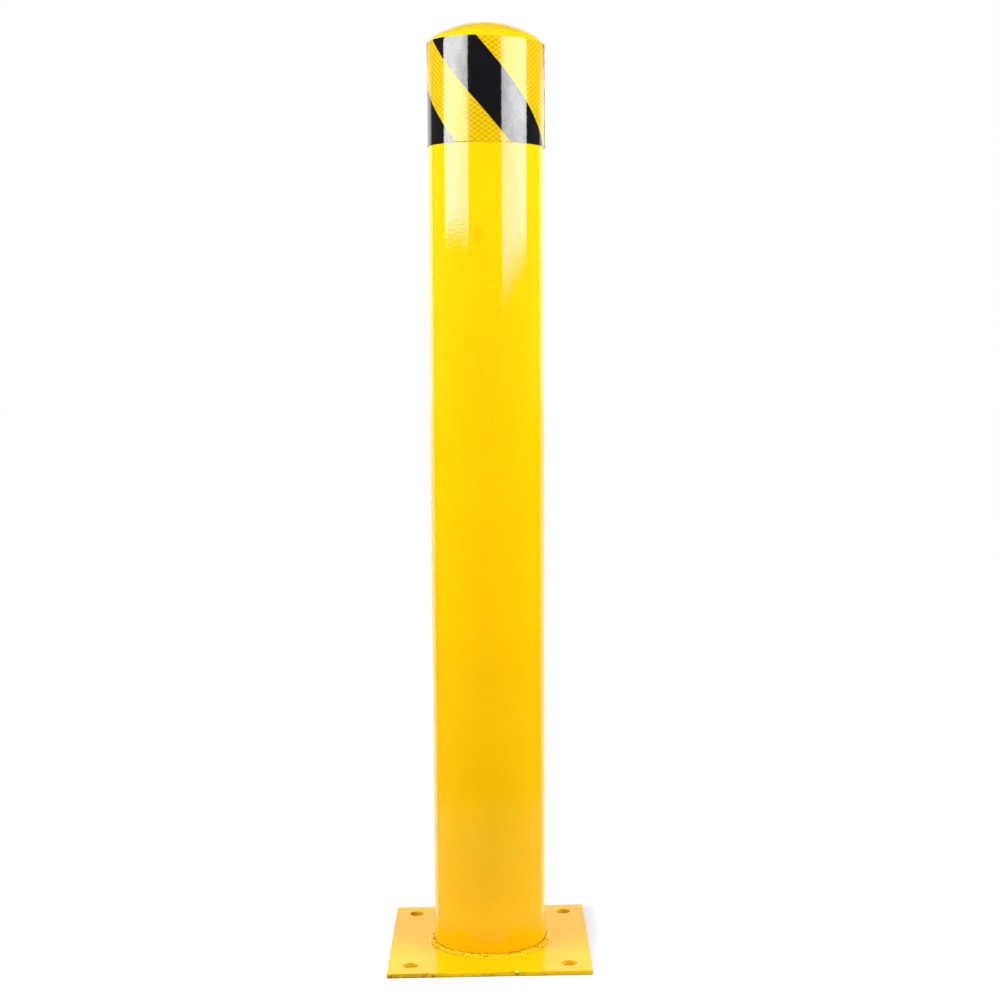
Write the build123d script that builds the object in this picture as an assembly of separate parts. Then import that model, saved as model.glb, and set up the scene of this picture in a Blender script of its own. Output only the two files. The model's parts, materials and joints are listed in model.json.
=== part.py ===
from build123d import *
import math
import os

# Fixed, bolt-down steel safety bollard with a domed cap and a band of reflective hazard tape.
# Millimetres, +Z up, origin at the centre of the base plate's underside. The front is -Y.
# Angles round the post are in degrees from the front, positive towards +X.

# ---- base plate sizes ----
plate_side = 200.0
plate_t = 4.5
plate_edge_break = 0.4
hole_d = 14.5  # for M12 or 1/2 in anchors
hole_pitch = 156.0  # hole centres, both ways

# ---- post tube sizes ----
tube_od = 114.3
tube_wall = 3.0
tube_len = 890.5
weld_prep = 1.5  # 45 degree edge preparation on pipe and cap
seam_angle = 180.0  # the pipe's own seam faces the back
seam_bead_w = 5.0  # inside flash of the seam
seam_bead_h = 0.9
seam_shoulder = 0.8  # height of the ridge's shoulders, as a share of seam_bead_h
seam_foot_h = 0.05  # height of the ridge's steep feet
seam_sink = 1.0  # how far the ridge is sunk into the wall, to join it

# ---- domed cap sizes ----
cap_flange = 2.0  # straight wall at the foot
cap_h = 27.0  # height of the dome above its flange
cap_knuckle = 16.0  # outside radius where dome meets wall
cap_t = 3.0

# ---- base weld sizes ----
fillet_leg = 5.0
fillet_crown = 0.7  # how far the bead's face bulges past flat

# ---- tape sizes ----
tape_w = 100.0
tape_t = 0.40  # yellow retroreflective sheet with its adhesive
tape_over_cap = 6.8  # the tape's top edge lies this far above the knuckle's foot
bond_gap = 0.02  # bond line under each layer of tape
lap_angle = 86.0  # post angle of the tape's free end
lap_cover = 12.0  # degrees of overlap under the free end
climb_start, climb_end = 351.0, 359.2  # degrees of strip that climb over its own start
free_span = 5.0  # last degrees of strip, which stand off the post
free_rise = 0.25  # extra lift at the very end
coarse_step, fine_step = 6.0, 1.0  # outline steps in degrees, fine where the strip climbs

# ---- stripe sizes ----
film_t = 0.08  # black overlay film
stripe_slope = -1.15  # rise of a stripe edge per unit of arc
stripe_h = 61.5  # height of a stripe, measured up the post
stripe_z_front = 893.6  # upper edge of the top stripe where it crosses the front
stripe_count = 4
seam_clear = 0.01  # degrees left uncovered each side of the tape's free end
facet = 8.0  # degrees per facet of the slanting cutters
cutter_inset, cutter_outset = 4, 6  # cutter's reach inside and outside the pipe's surface
cutter_margin = 8  # cutter's reach above and below the tape
min_stripe_volume = 0.2  # smaller slivers are dropped

# ---- derived ----
tube_r = tube_od / 2
bore_r = tube_r - tube_wall
tube_top = plate_t + tube_len
knuckle_z = tube_top + cap_flange
tape_top = knuckle_z + tape_over_cap
tape_bottom = tape_top - tape_w
strip_start = lap_angle + lap_cover
strip_turn = 360.0 + lap_cover


def revolved(profile):
    """Solid of revolution about Z from a closed profile in the XZ plane."""
    return revolve(make_face(profile), Axis.Z, 360)


def make_base_plate():
    """Square plate with broken edges and four anchor holes."""
    plate = Pos(0, 0, plate_t / 2) * Box(plate_side, plate_side, plate_t)
    plate = chamfer(plate.edges(), plate_edge_break)
    for side_x in (-1, 1):
        for side_y in (-1, 1):
            centre = Pos(side_x * hole_pitch / 2, side_y * hole_pitch / 2, plate_t / 2)
            plate -= centre * Cylinder(hole_d / 2, plate_t * 2)
    return plate


def make_post_tube():
    """Pipe prepared for welding at its outer top edge, with the seam's ridge down the bore."""
    wall = Polyline(
        (bore_r, 0, plate_t),
        (tube_r, 0, plate_t),
        (tube_r, 0, tube_top - weld_prep),
        (tube_r - weld_prep, 0, tube_top),
        (bore_r, 0, tube_top),
        close=True,
    )
    # Half of the ridge's section in XY, from the wall towards the crest.
    half = [
        (bore_r + seam_sink, seam_bead_w / 2),
        (bore_r - seam_foot_h, seam_bead_w / 2),
        (bore_r - seam_bead_h * seam_shoulder, seam_bead_w / 5),
    ]
    crest = (bore_r - seam_bead_h, 0)
    section = Polyline(*[(x, -y) for x, y in half], crest, *reversed(half), close=True)
    ridge = extrude(make_face(section), tube_len)
    return revolved(wall) + Pos(0, 0, plate_t) * Rot(0, 0, seam_angle - 90) * ridge


def make_dome_cap():
    """Pressed cap: a flange in line with the pipe, a tangent knuckle, then a crown sphere."""
    crown_r = ((tube_r - cap_knuckle) ** 2 + cap_h**2 - cap_knuckle**2) / (
        2 * (cap_h - cap_knuckle)
    )
    crown_centre = (0, knuckle_z + cap_h - crown_r)
    knuckle_centre = (tube_r - cap_knuckle, knuckle_z)
    tangent = math.atan2(knuckle_z - crown_centre[1], knuckle_centre[0])
    mid_knuckle = tangent / 2
    mid_crown = (tangent + math.pi / 2) / 2

    def arc_point(centre, radius, angle):
        x, z = centre
        return (x + radius * math.cos(angle), 0, z + radius * math.sin(angle))

    # The inside is the outside offset by the cap's thickness.
    knuckle_in = cap_knuckle - cap_t
    inner_r = tube_r - cap_t
    join_out = arc_point(knuckle_centre, cap_knuckle, tangent)
    join_in = arc_point(knuckle_centre, knuckle_in, tangent)
    apex_out = (0, 0, knuckle_z + cap_h)
    apex_in = (0, 0, knuckle_z + cap_h - cap_t)
    foot_in = (inner_r, 0, tube_top)
    prep_in = (tube_r - weld_prep, 0, tube_top)
    prep_out = (tube_r, 0, tube_top + weld_prep)
    flange_out = (tube_r, 0, knuckle_z)
    flange_in = (inner_r, 0, knuckle_z)
    edges = [
        Line(foot_in, prep_in),
        Line(prep_in, prep_out),
        Line(prep_out, flange_out),
        ThreePointArc(flange_out, arc_point(knuckle_centre, cap_knuckle, mid_knuckle), join_out),
        ThreePointArc(join_out, arc_point(crown_centre, crown_r, mid_crown), apex_out),
        Line(apex_out, apex_in),
        ThreePointArc(apex_in, arc_point(crown_centre, crown_r - cap_t, mid_crown), join_in),
        ThreePointArc(join_in, arc_point(knuckle_centre, knuckle_in, mid_knuckle), flange_in),
        Line(flange_in, foot_in),
    ]
    return revolved(Wire(edges))


def make_cap_weld():
    """Fills the V between the two preparations, ground flush with the pipe under the tape."""
    section = Polyline(
        (tube_r - weld_prep, 0, tube_top),
        (tube_r, 0, tube_top - weld_prep),
        (tube_r, 0, tube_top + weld_prep),
        close=True,
    )
    return revolved(section)


def make_base_weld():
    """Fillet bead with a slightly crowned face, all round the foot of the pipe."""
    reach = fillet_leg / 2 + fillet_crown / math.sqrt(2)
    root = (tube_r, 0, plate_t)
    toe = (tube_r + fillet_leg, 0, plate_t)
    crown = (tube_r + reach, 0, plate_t + reach)
    top = (tube_r, 0, plate_t + fillet_leg)
    return revolved(Wire([Line(root, toe), ThreePointArc(toe, crown, top), Line(top, root)]))


# ---- tape and film ----
# One strip starts under the lap, runs round the front and the back, climbs over its own start
# and ends at lap_angle as the outer layer. "unrolled" is the angle along the strip from its
# hidden start; the post angle is strip_start - unrolled.
def lift(unrolled):
    """Extra radius of the strip's underside."""
    if unrolled <= climb_start:
        return 0.0
    share = min(1.0, (unrolled - climb_start) / (climb_end - climb_start))
    smooth = share * share * (3 - 2 * share)
    free = max(0.0, (unrolled - (strip_turn - free_span)) / free_span)
    return smooth * (tape_t + bond_gap) + free_rise * free**2


def make_strip(first, base, thick):
    """Strip from unrolled angle first to the free end, its underside base above the pipe."""
    stations = []
    unrolled = first
    while unrolled < strip_turn - 1e-6:
        stations.append(unrolled)
        unrolled += coarse_step if unrolled < climb_start - coarse_step else fine_step
    stations.append(strip_turn)

    def on_post(unrolled, height):
        angle = math.radians(strip_start - unrolled)
        radius = tube_r + height + lift(unrolled)
        return (radius * math.sin(angle), -radius * math.cos(angle))

    inner = [on_post(station, base) for station in stations]
    outer = [on_post(station, base + thick) for station in reversed(stations)]
    outline = Wire(
        [Spline(*inner), Line(inner[-1], outer[0]), Spline(*outer), Line(outer[-1], inner[0])]
    )
    return Pos(0, 0, tape_bottom) * extrude(make_face(outline), tape_w)


def slant_cutter(z_front):
    """Closed solid, stripe_h high, below a slanting line that crosses the front at z_front."""
    arc_per_degree = math.pi / 180 * (tube_r + tape_t)
    low = lap_angle - 360.0 + seam_clear
    high = lap_angle - seam_clear
    steps = int(round((high - low) / facet))
    inner_r, outer_r = tube_r - cutter_inset, tube_r + cutter_outset
    rings = []
    for i in range(steps + 1):
        angle = low + (high - low) * i / steps
        z = z_front + stripe_slope * angle * arc_per_degree
        bottom = z - stripe_h
        if z <= tape_bottom - cutter_margin or bottom >= tape_top + cutter_margin:
            continue
        turn = math.radians(angle)
        corners = ((inner_r, bottom), (outer_r, bottom), (outer_r, z), (inner_r, z))
        rings.append([Vector(r * math.sin(turn), -r * math.cos(turn), h) for r, h in corners])

    faces = [Face(Wire.make_polygon(rings[0])), Face(Wire.make_polygon(rings[-1][::-1]))]
    for ring, following in zip(rings, rings[1:]):
        for i in range(4):
            j = (i + 1) % 4
            faces.append(Face(Wire.make_polygon([ring[i], following[i], following[j]])))
            faces.append(Face(Wire.make_polygon([ring[i], following[j], ring[j]])))
    cutter = Solid(Shell(faces))
    if cutter.volume < 0:  # inside out, so turn the faces round
        cutter = Solid(Shell([-face for face in cutter.faces()]))
    return cutter


def make_hazard_stripes():
    """Black film on the tape's outer face, cut along straight slanting lines of the flat strip."""
    film = make_strip(lap_cover, bond_gap + tape_t + bond_gap / 2, film_t)
    stripes = []
    # From the lowest stripe up. None lies above the one that crosses the front.
    for k in range(1 - stripe_count, 1):
        cut = film & slant_cutter(stripe_z_front + k * 2 * stripe_h)
        if cut:
            stripes += [piece for piece in cut.solids() if piece.volume > min_stripe_volume]
    return Compound(children=stripes)


# ---- write ----
pieces = {
    "base_plate": make_base_plate(),
    "post_tube": make_post_tube(),
    "dome_cap": make_dome_cap(),
    "cap_weld": make_cap_weld(),
    "base_weld": make_base_weld(),
    "reflective_tape": make_strip(0.0, bond_gap, tape_t),
    "hazard_stripes": make_hazard_stripes(),
}
os.makedirs("parts", exist_ok=True)
for name, shape in pieces.items():
    solids = shape.solids()
    export_step(Compound(children=solids) if len(solids) > 1 else solids[0], f"parts/{name}.step")
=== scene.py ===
import json
import math

import bpy
import numpy as np
from mathutils import Matrix, Vector, noise


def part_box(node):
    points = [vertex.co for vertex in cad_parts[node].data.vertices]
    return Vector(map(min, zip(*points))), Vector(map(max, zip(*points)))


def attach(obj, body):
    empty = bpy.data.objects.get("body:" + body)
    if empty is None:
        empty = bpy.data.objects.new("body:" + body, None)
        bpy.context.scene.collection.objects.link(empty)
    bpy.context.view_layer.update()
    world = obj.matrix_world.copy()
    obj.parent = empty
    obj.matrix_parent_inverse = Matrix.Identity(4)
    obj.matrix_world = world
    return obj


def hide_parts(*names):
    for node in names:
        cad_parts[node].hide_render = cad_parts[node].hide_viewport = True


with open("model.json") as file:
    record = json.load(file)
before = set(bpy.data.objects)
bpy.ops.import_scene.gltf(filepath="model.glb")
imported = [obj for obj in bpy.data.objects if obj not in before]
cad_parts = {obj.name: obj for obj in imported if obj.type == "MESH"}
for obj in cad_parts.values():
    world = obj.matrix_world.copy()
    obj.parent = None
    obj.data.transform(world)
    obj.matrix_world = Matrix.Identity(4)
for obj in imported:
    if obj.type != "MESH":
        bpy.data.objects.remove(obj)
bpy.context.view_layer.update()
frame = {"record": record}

MM = 0.001

# ---------------------------------------------------------------------------------------------
# Places and sizes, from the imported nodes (millimetres)
# ---------------------------------------------------------------------------------------------
def mm_box(node):
    lo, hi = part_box(node)
    return [c * 1000 for c in lo], [c * 1000 for c in hi]


p_lo, p_hi = mm_box("base_plate")
t_lo, t_hi = mm_box("post_tube")
d_lo, d_hi = mm_box("dome_cap")
r_lo, r_hi = mm_box("reflective_tape")
w_lo, w_hi = mm_box("base_weld")

HALF = p_hi[0]                      # half the plate's side
PT = p_hi[2]                        # plate thickness
R = t_hi[0]                         # pipe's outer radius
WALL = 3.0
Z0, Z1 = t_lo[2], t_hi[2]           # pipe's ends
ZTOP = d_hi[2]                      # crown of the dome
ZT0, ZT1 = r_lo[2], r_hi[2]         # tape's edges
HOLE_R = 7.25
for m in frame["record"]["mounts"]:
    if m["name"] == "anchor_holes":
        HOLE_C = m["dims"]["spacing_x_mm"] / 2
        HOLE_R = m["dims"]["hole_r_mm"]

# tape winding, as in the solids
TAPE_T, FILM_T, GAP = 0.40, 0.08, 0.02
LAP, COVER = 86.0, 12.0
START, TURN = LAP + COVER, 360.0 + COVER
CLIMB0, CLIMB1 = 351.0, 359.2
SLOPE, STRIPE_H, STRIPE_Z0 = -1.15, 61.5, 893.6

rng = np.random.default_rng(41)


# ---------------------------------------------------------------------------------------------
# Mesh helpers
# ---------------------------------------------------------------------------------------------
def new_object(name, verts, faces, smooth=True, attrs=None, face_mat=None, mats=()):
    """A mesh object from vertices in millimetres."""
    me = bpy.data.meshes.new(name)
    v = np.asarray(verts, float) * MM
    me.from_pydata(v.tolist(), [], [tuple(int(i) for i in f) for f in faces])
    me.validate(clean_customdata=False)
    me.update()
    if smooth:
        me.polygons.foreach_set("use_smooth", [True] * len(me.polygons))
    for key, data in (attrs or {}).items():
        data = np.asarray(data, np.float32)
        kind = "FLOAT" if data.ndim == 1 else "FLOAT_VECTOR"
        a = me.attributes.new(key, kind, "POINT")
        a.data.foreach_set("value" if kind == "FLOAT" else "vector", data.ravel())
    if face_mat is not None:
        me.polygons.foreach_set("material_index", np.asarray(face_mat, np.int32))
    ob = bpy.data.objects.new(name, me)
    bpy.context.scene.collection.objects.link(ob)
    for m in mats:
        ob.data.materials.append(m)
    return ob


def grid_faces(nu, nv, wrap_u=False, wrap_v=False, flip=False, base=0):
    """Quads of a nu by nv grid stored with index u * nv + v."""
    out = []
    for i in range(nu if wrap_u else nu - 1):
        i2 = (i + 1) % nu
        for j in range(nv if wrap_v else nv - 1):
            j2 = (j + 1) % nv
            q = (base + i * nv + j, base + i2 * nv + j, base + i2 * nv + j2, base + i * nv + j2)
            out.append(q[::-1] if flip else q)
    return out


def fbm(p, scale, octaves=3, gain=0.5, seed=0.0):
    """Smooth noise in about -1..1 at a point in millimetres; scale is the feature size in millimetres."""
    v, a, f, s = 0.0, 1.0, 1.0 / scale, 0.0
    for _ in range(octaves):
        v += a * noise.noise(Vector((p[0] * f + seed, p[1] * f - seed * 0.7, p[2] * f + seed * 1.3)))
        s += a
        a *= gain
        f *= 2.03
    return v / s * 1.6


# ---------------------------------------------------------------------------------------------
# Node helpers
# ---------------------------------------------------------------------------------------------
class Tree:
    """Small helper round one material's nodes."""

    def __init__(self, name):
        self.mat = bpy.data.materials.new(name)
        self.mat.use_nodes = True
        self.nt = self.mat.node_tree
        self.nt.nodes.clear()
        self.out = self.nt.nodes.new("ShaderNodeOutputMaterial")

    def node(self, kind, **props):
        n = self.nt.nodes.new(kind)
        for k, v in props.items():
            setattr(n, k, v)
        return n

    def link(self, a, b):
        self.nt.links.new(a, b)

    def put(self, socket, value):
        if isinstance(value, bpy.types.NodeSocket):
            self.link(value, socket)
        else:
            socket.default_value = value

    def math(self, op, a, b=None, c=None, clamp=False):
        n = self.node("ShaderNodeMath", operation=op, use_clamp=clamp)
        self.put(n.inputs[0], a)
        if b is not None:
            self.put(n.inputs[1], b)
        if c is not None:
            self.put(n.inputs[2], c)
        return n.outputs[0]

    def ramp(self, x, lo, hi, a=0.0, b=1.0, smooth=True):
        n = self.node("ShaderNodeMapRange", clamp=True)
        n.interpolation_type = "SMOOTHSTEP" if smooth else "LINEAR"
        self.put(n.inputs["Value"], x)
        n.inputs["From Min"].default_value = lo
        n.inputs["From Max"].default_value = hi
        n.inputs["To Min"].default_value = a
        n.inputs["To Max"].default_value = b
        return n.outputs["Result"]

    def mix(self, fac, a, b, blend="MIX"):
        n = self.node("ShaderNodeMix", data_type="RGBA", blend_type=blend)
        self.put(n.inputs["Factor"], fac)
        for i, v in ((6, a), (7, b)):
            if isinstance(v, bpy.types.NodeSocket):
                self.link(v, n.inputs[i])
            else:
                n.inputs[i].default_value = (*v, 1.0)
        return n.outputs[2]

    def coords(self):
        return self.node("ShaderNodeTexCoord").outputs["Object"]

    def sep(self, v):
        n = self.node("ShaderNodeSeparateXYZ")
        self.link(v, n.inputs[0])
        return n.outputs

    def noise(self, size_mm, detail=2.0, rough=0.5, vec=None, stretch=None, seed=0.0):
        """Noise with features of about size_mm."""
        n = self.node("ShaderNodeTexNoise")
        n.inputs["Scale"].default_value = 1.0 / (size_mm * MM)
        n.inputs["Detail"].default_value = detail
        n.inputs["Roughness"].default_value = rough
        v = vec if vec is not None else self.coords()
        if stretch is not None or seed:
            m = self.node("ShaderNodeMapping")
            m.inputs["Location"].default_value = (seed, seed * 0.37, -seed * 0.61)
            if stretch is not None:
                m.inputs["Scale"].default_value = stretch
            self.link(v, m.inputs["Vector"])
            v = m.outputs["Vector"]
        self.link(v, n.inputs["Vector"])
        return n.outputs["Fac"]

    def voronoi(self, size_mm, feature="F1", vec=None, randomness=1.0):
        n = self.node("ShaderNodeTexVoronoi", feature=feature)
        n.inputs["Scale"].default_value = 1.0 / (size_mm * MM)
        n.inputs["Randomness"].default_value = randomness
        self.link(vec if vec is not None else self.coords(), n.inputs["Vector"])
        return n.outputs["Distance"]

    def bump(self, height, dist_mm, strength=1.0, normal=None):
        n = self.node("ShaderNodeBump")
        n.inputs["Strength"].default_value = strength
        n.inputs["Distance"].default_value = dist_mm * MM
        self.link(height, n.inputs["Height"])
        if normal is not None:
            self.link(normal, n.inputs["Normal"])
        return n.outputs["Normal"]

    def attr(self, name, vector=False):
        n = self.node("ShaderNodeAttribute", attribute_name=name)
        return n.outputs["Vector"] if vector else n.outputs["Fac"]

    def principled(self, **inputs):
        n = self.node("ShaderNodeBsdfPrincipled")
        for k, v in inputs.items():
            s = n.inputs[k.replace("_", " ")]
            if isinstance(v, bpy.types.NodeSocket):
                self.link(v, s)
            elif isinstance(v, (tuple, list)) and len(v) == 3:
                s.default_value = (*v, 1.0)
            else:
                s.default_value = v
        self.link(n.outputs[0], self.out.inputs["Surface"])
        return n


YELLOW = (0.90, 0.506, 0.0015)
SPEC_TINT = (1.0, 0.36, 0.85)


def powder_coat(name, peel=1.0, base=YELLOW, chips=None, extra=None, seed=0.0, rough=0.036, gloss=0.5, bead=False,
                tint=SPEC_TINT):
    """Gloss powder coat: slight colour drift, orange peel, fine specks, and optional worn edges."""
    t = Tree(name)
    drift = t.noise(70, 3, 0.55, seed=seed)
    fine = t.noise(6, 2, 0.6, seed=seed + 2)
    lighter = (min(1.0, base[0] * 1.01), base[1] * 1.018, base[2] * 1.1)
    deeper = (base[0] * 0.985, base[1] * 0.972, base[2] * 0.9)
    col = t.mix(t.ramp(drift, 0.33, 0.67), deeper, lighter)
    col = t.mix(t.ramp(fine, 0.35, 0.75, 0.0, 0.35), col, base)
    if extra is not None:
        col = extra(t, col)
    # a few faint rubbed smudges and tiny dust nibs caught in the coat
    smudge = t.ramp(t.noise(26, 4, 0.62, seed=seed + 9), 0.68, 0.82, 0.0, 0.12)
    col = t.mix(smudge, col, (0.62, 0.28, 0.01))
    grain = t.ramp(t.noise(1.9, 1.0, 0.55, seed=seed + 13), 0.30, 0.70)
    col = t.mix(1.0, col, t.mix(grain, (0.990, 0.966, 0.95), (1.010, 1.034, 1.05)), blend="MULTIPLY")
    nib = t.voronoi(27)
    nib_mask = t.ramp(nib, 0.014, 0.028, 1.0, 0.0)
    col = t.mix(t.math("MULTIPLY", nib_mask, 0.45), col, (0.42, 0.17, 0.01))
    rough_v = t.ramp(t.noise(34, 4, 0.6, seed=seed + 5), 0.3, 0.72, rough * 0.8, rough * 1.45)
    # orange peel, with a very low swell under it
    peel_a = t.noise(2.4, 0.0, 0.5, seed=seed + 1, stretch=(0.82, 0.82, 1.10))
    peel_b = t.noise(9.0, 1.0, 0.5, seed=seed + 3)
    peel_c = t.noise(1.5, 0.0, 0.5, seed=seed + 6)
    n = t.bump(peel_b, 0.012 * peel)
    n = t.bump(peel_a, 0.024 * peel, normal=n)
    n = t.bump(peel_c, 0.010 * peel, normal=n)
    n = t.bump(nib_mask, 0.06, normal=n)
    level = None
    if bead:
        ripple = t.attr("ripple")
        cav = t.attr("painted_crevice_shade")
        # on the bead, painted shade in its crevices and creases, with less gloss there
        crevice_shade_mask = t.ramp(cav, 0.20, 0.90)
        col = t.mix(t.math("MULTIPLY", crevice_shade_mask, 0.92), col, (0.40, 0.185, 0.001))
        n = t.bump(t.noise(2.3, 1.0, 0.5, seed=seed + 7), 0.16, normal=n)
        rough_v = t.math("ADD", rough_v, t.math("MULTIPLY", ripple, 0.05))
        level = t.math("MULTIPLY", t.math("SUBTRACT", 1.0, t.math("MULTIPLY", crevice_shade_mask, 0.85)), gloss)
    if chips is not None:
        wear = chips(t)
        steel = t.mix(t.ramp(t.noise(1.6, 3, 0.6), 0.35, 0.7), (0.105, 0.050, 0.010), (0.26, 0.155, 0.045))
        rim = t.math("MULTIPLY", t.ramp(wear, 0.25, 0.5), 0.6, clamp=True)
        col = t.mix(rim, col, (0.66, 0.30, 0.015))
        hard = t.ramp(wear, 0.52, 0.64)
        col = t.mix(hard, col, steel)
        rough_v = t.math("ADD", rough_v, t.math("MULTIPLY", hard, 0.35), clamp=True)
        inv = t.math("SUBTRACT", 1.0, hard)
        n = t.bump(inv, 0.12, normal=n)
        # the sheared edge faces are duller
        level = t.math("MULTIPLY", t.math("SUBTRACT", 1.0, t.math("MULTIPLY", t.attr("side"), 0.50)), gloss)
    p = t.principled(Base_Color=col, Roughness=rough_v, IOR=1.5, Normal=n)
    p.inputs["Specular Tint"].default_value = (*tint, 1.0)
    if level is None:
        p.inputs["Specular IOR Level"].default_value = gloss
    else:
        t.link(level, p.inputs["Specular IOR Level"])
    return t.mat


def plate_sides(t, col):
    """The sheared edge faces: thinner, duller coat over a rough cut, browner and greyer in patches, with painted
    contact shadow along their foot; also painted shade in the holes and a painted glint on one nick.
    """
    side = t.attr("side")
    x, y, z = t.sep(t.coords())
    blot = t.noise(7.0, 3, 0.6, seed=1.3, stretch=(0.5, 0.5, 1.8))
    fine = t.noise(1.5, 2, 0.6, seed=5.3, stretch=(0.55, 0.55, 1.5))
    f = t.math("ADD", t.math("MULTIPLY", blot, 0.62), t.math("MULTIPLY", fine, 0.38))
    # rougher handling near the front's left third and its middle
    left = t.ramp(x, -0.052, -0.034, 1.0, 0.0)
    midd = t.ramp(t.math("ABSOLUTE", t.math("SUBTRACT", x, 0.006)), 0.022, 0.048, 1.0, 0.0)
    front = t.ramp(y, -0.098, -0.090, 1.0, 0.25)
    busy = t.math("MULTIPLY", t.math("MAXIMUM", left, t.math("MULTIPLY", midd, 0.30)), front)
    col = t.mix(t.math("MULTIPLY", side, 0.85), col, (0.84, 0.49, 0.004))
    grey = t.math("MULTIPLY", t.ramp(t.math("ADD", f, t.math("MULTIPLY", busy, 0.15)), 0.53, 0.68), side)
    col = t.mix(t.math("MULTIPLY", grey, 0.72), col, (0.42, 0.275, 0.010))
    # painted contact shadow: the edge faces darken towards their lower rim
    low = t.math("MULTIPLY", t.ramp(z, 0.0003, 0.0012, 0.75, 0.0), side)
    col = t.mix(low, col, (0.20, 0.11, 0.01))
    # painted shade on the hole walls, just under their rims
    hx = t.math("SUBTRACT", t.math("ABSOLUTE", x), HOLE_C * MM)
    hy = t.math("SUBTRACT", t.math("ABSOLUTE", y), HOLE_C * MM)
    from_c = t.math("SQRT", t.math("ADD", t.math("MULTIPLY", hx, hx), t.math("MULTIPLY", hy, hy)))
    wall = t.math("MULTIPLY", t.ramp(from_c, (HOLE_R + 0.12) * MM, (HOLE_R + 0.22) * MM, 1.0, 0.0), t.ramp(z, 0.0018, 0.0040, 0.0, 0.20))
    col = t.mix(wall, col, (0.52, 0.25, 0.002))
    # one nick on the front rim: a pale painted glint at its top and a dark brown mark under it
    dx = t.math("DIVIDE", t.math("SUBTRACT", x, 0.0263), 0.0018)
    near = t.math("MULTIPLY", t.math("MULTIPLY", dx, dx), -1.0)
    nick_glint_and_mark = t.math("MULTIPLY", t.math("EXPONENT", near), t.ramp(y, -0.0978, -0.0960, 1.0, 0.0))
    warp = t.math("MULTIPLY", nick_glint_and_mark, t.ramp(fine, 0.35, 0.5, 0.6, 1.0))
    col = t.mix(t.math("MULTIPLY", warp, t.ramp(z, 0.0026, 0.0034, 0.75, 0.0)), col, (0.22, 0.085, 0.006))
    return t.mix(t.math("MULTIPLY", t.ramp(warp, 0.25, 0.75, 0.0, 0.85), t.ramp(z, 0.0028, 0.0036)), col, (0.93, 0.74, 0.50))


def plate_chips(t):
    """Where the plate's paint is knocked off: nicks along the lower half of its edge faces and on the rim."""
    side = t.attr("side")
    x, y, z = t.sep(t.coords())
    n1 = t.noise(9, 3, 0.65, seed=3.1)
    n2 = t.noise(2.4, 2, 0.6, seed=1.7)
    body = t.math("ADD", t.math("MULTIPLY", n1, 0.62), t.math("MULTIPLY", n2, 0.38))
    low = t.ramp(z, 0.0, 0.0042, 0.10, -0.04, smooth=False)
    left = t.math("MULTIPLY", t.ramp(x, -0.058, -0.034, 1.0, 0.0), t.ramp(y, -0.098, -0.090, 0.07, 0.0))
    return t.math("MULTIPLY", t.ramp(t.math("ADD", t.math("ADD", body, low), left), 0.55, 0.80), side)


def post_patch_and_painted_foot(t, col):
    """One deeper-coloured patch high on the front, and painted shade and plate reflection over the pipe's foot."""
    x, y, z = t.sep(t.coords())
    dx = t.math("DIVIDE", t.math("SUBTRACT", x, -0.008), 0.0058)
    dz = t.math("DIVIDE", t.math("SUBTRACT", z, 0.716), 0.0085)
    d = t.math("ADD", t.math("MULTIPLY", dx, dx), t.math("MULTIPLY", dz, dz))
    warp = t.math("MULTIPLY", t.math("SUBTRACT", t.noise(7, 3, 0.6), 0.5), 1.6)
    m = t.math("MULTIPLY", t.ramp(t.math("ADD", d, warp), 0.0, 1.5, 0.42, 0.0), t.ramp(y, -0.05, -0.03, 1.0, 0.0))
    col = t.mix(m, col, (0.86, 0.33, 0.002))
    # painted shade and a painted reflection of the yellow plate deepen the colour over the pipe's foot
    return t.mix(t.ramp(z, 0.026, 0.040, 0.62, 0.0), col, (0.85, 0.445, 0.001))


def cap_painted_crown_light(t, col):
    """Painted light on the pressed cap: lighter over the crown, deeper round the knuckle."""
    _, _, z = t.sep(t.coords())
    tone = t.mix(t.ramp(z, 0.904, 0.915), (0.88, 0.465, 0.0015), (0.92, 0.575, 0.0016))
    return t.mix(0.85, col, tone)


MAT_TUBE = powder_coat("powder_coat_post", seed=0.0, extra=post_patch_and_painted_foot)
MAT_DOME = powder_coat("powder_coat_cap", seed=4.0, peel=0.9, tint=(1.0, 0.50, 0.62), extra=cap_painted_crown_light)
MAT_PLATE = powder_coat("powder_coat_plate", seed=7.0, peel=1.1, chips=plate_chips, extra=plate_sides, rough=0.11,
                        base=(0.87, 0.462, 0.0015))
MAT_BEAD = powder_coat("powder_coat_weld", seed=11.0, peel=0.9, bead=True, rough=0.10, gloss=0.5,
                       base=(0.88, 0.492, 0.004), tint=(1.0, 0.80, 0.55))
MAT_CAPW = powder_coat("powder_coat_cap_weld", seed=15.0, peel=1.1)


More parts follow.
